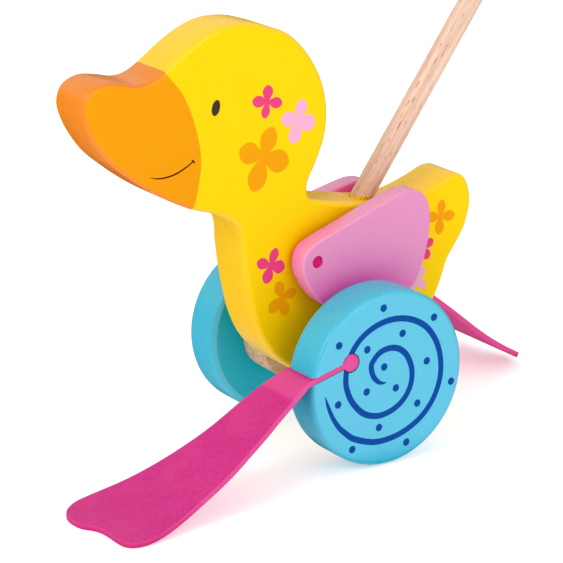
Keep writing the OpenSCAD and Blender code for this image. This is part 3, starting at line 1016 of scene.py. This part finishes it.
def foot_outline(rows):
    """Counter-clockwise outline of the flat sheet, and the inward direction at each point."""
    first = FOOT_BULB - FOOT_BULB_RADIUS + 0.03
    stations = [first] + rows
    low = [(s, STRIP_LOW) for s in stations]
    blade = [tuple(p) for p in spline(FOOT_PLAN, 1.6, closed=False)]
    high = [(s, STRIP_HIGH) for s in reversed(stations)]
    end = [(first, w) for w in np.linspace(STRIP_HIGH, STRIP_LOW, 7)[1:-1]]
    outline = np.array(low + blade + high + end)
    inward = inward_normals(outline)
    inward[:len(low)] = (0, 1)
    inward[-len(end) - len(high):-len(end)] = (0, -1)
    inward[-len(end):] = (0, 0)
    return outline, inward


def foot_mesh(name, side):
    at = foot_path(side)
    rows = root_rows()
    outline, inward = foot_outline(rows)
    bm = bmesh.new()
    rest_layer = bm.verts.layers.float_vector.new("rest_mm")
    cut_layer = bm.verts.layers.float.new("cut_edge")

    def vert(along, across, height, cut_edge=0.0):
        place, normal = at(along)
        y, z = place + normal * height
        v = new_vert(bm, side * WHEEL_MIDDLE + side * across, SLOT_WAY[side] * y, z + AXLE_Z)
        v[rest_layer] = Vector((along, across * side, height))
        v[cut_layer] = cut_edge
        return v

    rings = []
    for face in (1, -1):
        for inset, drop, cut_edge in FOOT_EDGE_RINGS:
            rings.append([vert(*p, face * max(foot_half(p[0]) - drop, 0.02), cut_edge)
                          for p in outline + inward * inset])
    order = [rings[i] for i in (0, 1, 2, 5, 4, 3)]
    for a, b in zip(order, order[1:]):
        join(bm, a, b)

    # both faces share one net: rows across the root, a loose grid over the blade
    inner = outline + inward * FOOT_EDGE
    count = len(inner)
    low, high = STRIP_LOW + FOOT_EDGE, STRIP_HIGH - FOOT_EDGE
    columns = np.linspace(low, high, 7)[1:-1]
    grid = np.array([(s, w) for s in np.arange(0.8, 118, 2.0) for w in np.arange(-24, 30, 2.3)])
    keep = inside(grid, inner)
    for p in inner:
        keep &= np.hypot(*(grid - p).T) > 1.1
    points = [Vector(p) for p in inner]
    edges = [(i, (i + 1) % count) for i in range(count)]
    for s in rows:
        start = len(points)
        points += [Vector((s, w)) for w in columns]
        ends = [int(np.argmin(np.hypot(inner[:, 0] - s, inner[:, 1] - w))) for w in (low, high)]
        chain = [ends[0]] + list(range(start, len(points))) + [ends[1]]
        edges += zip(chain, chain[1:])
    points += [Vector(p) for p in grid[keep]]
    flat, sources, triangles, centres = triangulate(points, edges)
    wanted = inside(centres, inner)
    for face, ring in ((1, rings[0]), (-1, rings[3])):
        verts = []
        for p, source in zip(flat, sources):
            own = [k for k in source if k < count]
            verts.append(ring[own[0]] if own else vert(*p, face * foot_half(p[0])))
        for triangle, want in zip(triangles, wanted):
            if want:
                bm.faces.new([verts[i] for i in triangle])
    loose = [v for v in bm.verts if not v.link_faces]
    bmesh.ops.delete(bm, geom=loose, context="VERTS")
    return finish_mesh(name, bm, [FOOT_RUBBER], sharp=40)


def build_foot(side, name):
    foot = foot_mesh(name + "_rubber", side)
    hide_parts(name + "_root", name + "_blade")
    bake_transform(foot)


# ---------------------------------------------------------------- stage, light, camera (metres)

FLOOR_HALF, FLOOR_Z = 6.0, -0.0004
# directions that the lights are placed by
LIGHT_RIGHT = Vector((0.549, 0.836, 0))
LIGHT_BACK = Vector((0.796, -0.523, 0.303))
LIGHT_TARGET = Vector((0, 0, 0.1))
LIGHT_DISTANCE = 3.0
CAMERA_AZIMUTH, CAMERA_HEIGHT = math.radians(56.7), math.radians(17.65)
CAMERA_DISTANCE = 1.1435
CAMERA_SHIFT = (-0.01882, 0.02957)  # the aim's place right of and above the axle, as seen


def build_floor():
    mesh = bpy.data.meshes.new("floor")
    corners = [(-1, -1), (1, -1), (1, 1), (-1, 1)]
    mesh.from_pydata([(x * FLOOR_HALF, y * FLOOR_HALF, FLOOR_Z) for x, y in corners],
                     [], [(0, 1, 2, 3)])
    floor = bpy.data.objects.new("floor", mesh)
    bpy.context.scene.collection.objects.link(floor)
    m = Material("pale_floor")
    patches = m.ramp(m.noise(m.position, scale=3), at=(0.3, 0.7), to=(0, 0.3))
    # the floor glows more further out, to meet the white background
    distance = m.vector_math("LENGTH", m.position)
    mesh.materials.append(m.surface(
        color=m.mix(patches, (0.87, 0.87, 0.87, 1), (0.84, 0.84, 0.845, 1)), rough=0.7, spec=0.1,
        glow=(1, 1, 1, 1), glow_strength=m.ramp(distance, at=(0.3, 1.6), to=(0.42, 0.8))))
    floor.visible_glossy = False


def build_world():
    """Plain white to the camera; to everything else a white sky that fades to the horizon and
    is white again straight below."""
    world = bpy.data.worlds.new("studio")
    bpy.context.scene.world = world
    world.use_nodes = True
    n = Nodes(world.node_tree)
    height = n.separate(n.coordinates.outputs["Generated"])[2]
    sky = n.ramp(height, at=(-0.02, 0.30), to=(0.0, 0.80))
    below = n.ramp(height, at=(-0.5, -0.9), to=(0.0, 0.9))
    fill, seen = [n.node("ShaderNodeBackground", {"Color": (1, 1, 1, 1), "Strength": strength})
                  for strength in (n.math("ADD", sky, below), 1.0)]
    camera_ray = n.node("ShaderNodeLightPath").outputs["Is Camera Ray"]
    mixer = n.node("ShaderNodeMixShader",
                   {0: camera_ray, 1: fill.outputs[0], 2: seen.outputs[0]})
    n.node("ShaderNodeOutputWorld", {0: mixer.outputs[0]})


def area_light(name, direction, size, power):
    direction = direction.normalized()
    data = bpy.data.lights.new(name, "AREA")
    data.shape = "DISK"
    data.size = size
    data.energy = power
    light = bpy.data.objects.new(name, data)
    bpy.context.scene.collection.objects.link(light)
    light.location = LIGHT_TARGET + direction * LIGHT_DISTANCE
    light.rotation_mode = "QUATERNION"
    light.rotation_quaternion = direction.to_track_quat("Z", "Y")


def build_camera():
    data = bpy.data.cameras.new("camera")
    data.sensor_width = 36
    data.lens = 161.74
    data.clip_start = 0.05
    data.clip_end = 30
    camera = bpy.data.objects.new("camera", data)
    bpy.context.scene.collection.objects.link(camera)
    back = Vector((math.sin(CAMERA_AZIMUTH) * math.cos(CAMERA_HEIGHT),
                   -math.cos(CAMERA_AZIMUTH) * math.cos(CAMERA_HEIGHT),
                   math.sin(CAMERA_HEIGHT)))
    right = Vector((math.cos(CAMERA_AZIMUTH), math.sin(CAMERA_AZIMUTH), 0))
    up = back.cross(right)
    target = Vector((0, 0, AXLE_Z * MM)) + CAMERA_SHIFT[0] * right + CAMERA_SHIFT[1] * up
    camera.location = target + back * CAMERA_DISTANCE
    camera.rotation_mode = "QUATERNION"
    camera.rotation_quaternion = (-back).to_track_quat("-Z", "Y")
    bpy.context.scene.camera = camera


# ---------------------------------------------------------------- build

build_body()
build_stick()
build_knob()
for side, name in SIDES:
    build_wheel(side, name + "_wheel")
for side, name in SIDES:
    build_cam(side, name + "_cam")
for side, name in SIDES:
    build_wing(side, name + "_wing")
    build_pin(side, name + "_wing_pin")
    build_spacer(side, name + "_wing_spacer")
build_axle()
for side, name in SIDES:
    build_foot(side, name + "_foot")

view = bpy.context.scene.view_settings
view.view_transform = "Standard"
view.look = "None"
build_floor()
build_world()
area_light("key", -LIGHT_RIGHT * 0.8 + LIGHT_BACK * 0.8 + Vector((0, 0, 0.65)),
           size=1.6, power=28)
area_light("side_fill", LIGHT_RIGHT * 0.7 + LIGHT_BACK * 1.1 + Vector((0, 0, 0.35)),
           size=1.8, power=15)
build_camera()

bpy.context.view_layer.update()
